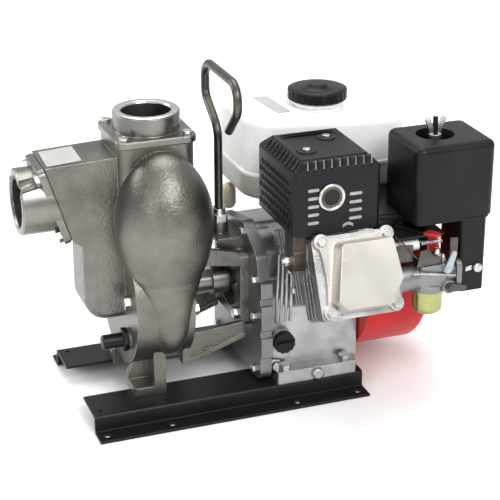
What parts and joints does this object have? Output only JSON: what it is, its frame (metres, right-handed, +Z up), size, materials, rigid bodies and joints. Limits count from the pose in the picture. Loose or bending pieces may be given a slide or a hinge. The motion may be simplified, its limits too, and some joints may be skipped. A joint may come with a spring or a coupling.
{
  "type": "portable fire pump",
  "caption": "Self-priming cast pump close-coupled to a small petrol engine on two steel rails, with top discharge, side suction and a lifting handle.",
  "frame": {"origin": "centre of the rails' four outer bolt holes, on the plane that the rails stand on", "axes": "+X along the crankshaft from the pump to the engine, -Y towards the cylinder side, +Z up"},
  "size_m": [0.515, 0.3246, 0.39],
  "materials": {
    "cast_stainless": "rough cast",
    "machined_stainless": "turned",
    "bright_steel": "zinc plated",
    "handle_steel": "bent bar",
    "black_painted_steel": "satin black",
    "gasket_fibre": "matt",
    "valve_rubber": "matt",
    "seal_ceramic": "polished",
    "cast_aluminium": "blasted casting",
    "dark_aluminium": "blasted casting in shade",
    "cover_aluminium": "satin",
    "heat_steel": "heat tinted",
    "zinc_yellow": "yellow passivated zinc",
    "plug_porcelain": "glazed",
    "black_plastic": "satin moulding",
    "filter_foam": "foam",
    "red_painted_steel": "gloss red",
    "red_lever": "red dipped",
    "grey_lever": "satin",
    "white_tank": "gloss white",
    "cord": "braided"
  },
  "bodies": {
    "pump_set": {"air_cleaner_base": "black_plastic", "air_cleaner_cover": "black_plastic", "air_filter": "filter_foam", "back_plate": "machined_stainless", "bracket": "cast_stainless", "bracket_casing_bolts": "bright_steel", "bracket_engine_bolts": "bright_steel", "carburettor": "cast_aluminium", "control_base": "bright_steel", "crank_bearings": "bright_steel", "crankcase": "cast_aluminium", "cylinder_head": "cast_aluminium", "discharge_flange": "machined_stainless", "discharge_flange_bolts": "bright_steel", "discharge_gasket": "gasket_fibre", "drain_plug": "black_painted_steel", "engine_mount_bolts": "bright_steel", "exhaust_nut": "bright_steel", "fan_shroud": "red_painted_steel", "float_bowl": "zinc_yellow", "fuel_tank": "white_tank", "guard_screws": "bright_steel", "handle_nut": "bright_steel", "lifting_handle": "handle_steel", "muffler": "heat_steel", "muffler_guard": "black_painted_steel", "priming_plug": "bright_steel", "pump_casing": "cast_stainless", "pump_foot_bolts": "bright_steel", "rail_far": "black_painted_steel", "rail_near": "black_painted_steel", "recoil_housing": "red_painted_steel", "seal_seat": "seal_ceramic", "side_cover": "dark_aluminium", "side_cover_bolts": "bright_steel", "spark_plug": "plug_porcelain", "suction_flange": "machined_stainless", "suction_flange_bolts": "bright_steel", "suction_gasket": "gasket_fibre", "valve_cover": "cover_aluminium", "valve_cover_bolts": "bright_steel"},
    "crank": {"crankshaft": "bright_steel", "pump_shaft": "machined_stainless", "impeller": "machined_stainless", "seal_ring": "valve_rubber", "flywheel": "cast_aluminium", "starter_cup": "cast_aluminium"},
    "cam": {"camshaft": "bright_steel"},
    "piston_group": {"piston": "cast_aluminium", "wrist_pin": "bright_steel"},
    "flap": {"check_valve_flap": "valve_rubber"},
    "throttle": {"throttle_lever": "red_lever"},
    "choke": {"choke_lever": "grey_lever"},
    "fuel_valve": {"fuel_valve_lever": "grey_lever"},
    "cleaner_nut": {"wing_nut": "bright_steel"},
    "tank_cap": {"fuel_cap": "black_plastic"},
    "oil_cap": {"oil_filler_cap": "black_plastic"},
    "pulley": {"recoil_pulley": "cast_aluminium"},
    "starter": {"starter_grip": "black_plastic", "starter_rope": "cord"}
  },
  "joints": [
    {"name": "crank_spin", "type": "hinge", "parent": "pump_set", "child": "crank", "pos_m": [0, 0, 0.1285], "axis": [1, 0, 0], "continuous": true},
    {"name": "cam_spin", "type": "hinge", "parent": "pump_set", "child": "cam", "pos_m": [0.1, 0.0243, 0.0864], "axis": [1, 0, 0], "continuous": true},
    {"name": "piston_slide", "type": "slide", "parent": "pump_set", "child": "piston_group", "axis": [0, -0.9063, 0.4226], "range_m": [-0.054, 0]},
    {"name": "check_valve_hinge", "type": "hinge", "parent": "pump_set", "child": "flap", "pos_m": [-0.18353, 0, 0.28675], "axis": [0, -1, 0], "range_deg": [0, 50]},
    {"name": "throttle_turn", "type": "hinge", "parent": "pump_set", "child": "throttle", "pos_m": [0.196, -0.118, 0.2145], "axis": [0, 0, 1], "range_deg": [-35, 15]},
    {"name": "choke_turn", "type": "hinge", "parent": "pump_set", "child": "choke", "pos_m": [0.236, -0.1615, 0.172], "axis": [0, -1, 0], "range_deg": [0, 60]},
    {"name": "fuel_valve_turn", "type": "hinge", "parent": "pump_set", "child": "fuel_valve", "pos_m": [0.24, -0.1615, 0.149], "axis": [0, 1, 0], "range_deg": [0, 90]},
    {"name": "wing_nut_turn", "type": "hinge", "parent": "pump_set", "child": "cleaner_nut", "pos_m": [0.238, -0.11, 0.31], "axis": [0, 0, 1], "continuous": true},
    {"name": "fuel_cap_turn", "type": "hinge", "parent": "pump_set", "child": "tank_cap", "pos_m": [0.149, 0.023, 0.34], "axis": [0, 0, 1], "range_deg": [0, 90]},
    {"name": "oil_cap_turn", "type": "hinge", "parent": "pump_set", "child": "oil_cap", "pos_m": [0.066, -0.085, 0.075], "axis": [0, -1, 0], "continuous": true},
    {"name": "recoil_pulley_spin", "type": "hinge", "parent": "pump_set", "child": "pulley", "pos_m": [0.266, 0, 0.1285], "axis": [1, 0, 0], "range_deg": [0, 65.1], "stiffness_Nm_per_rad": 0.05},
    {"name": "starter_pull", "type": "slide", "parent": "pump_set", "child": "starter", "axis": [0, -0.5, 0.866], "range_m": [0, 0.05]}
  ],
  "couplings": [
    {"joint": "cam_spin", "follows": "crank_spin", "ratio": -0.5},
    {"joint": "starter_pull", "follows": "recoil_pulley_spin", "m_per_rad": 0.044}
  ]
}
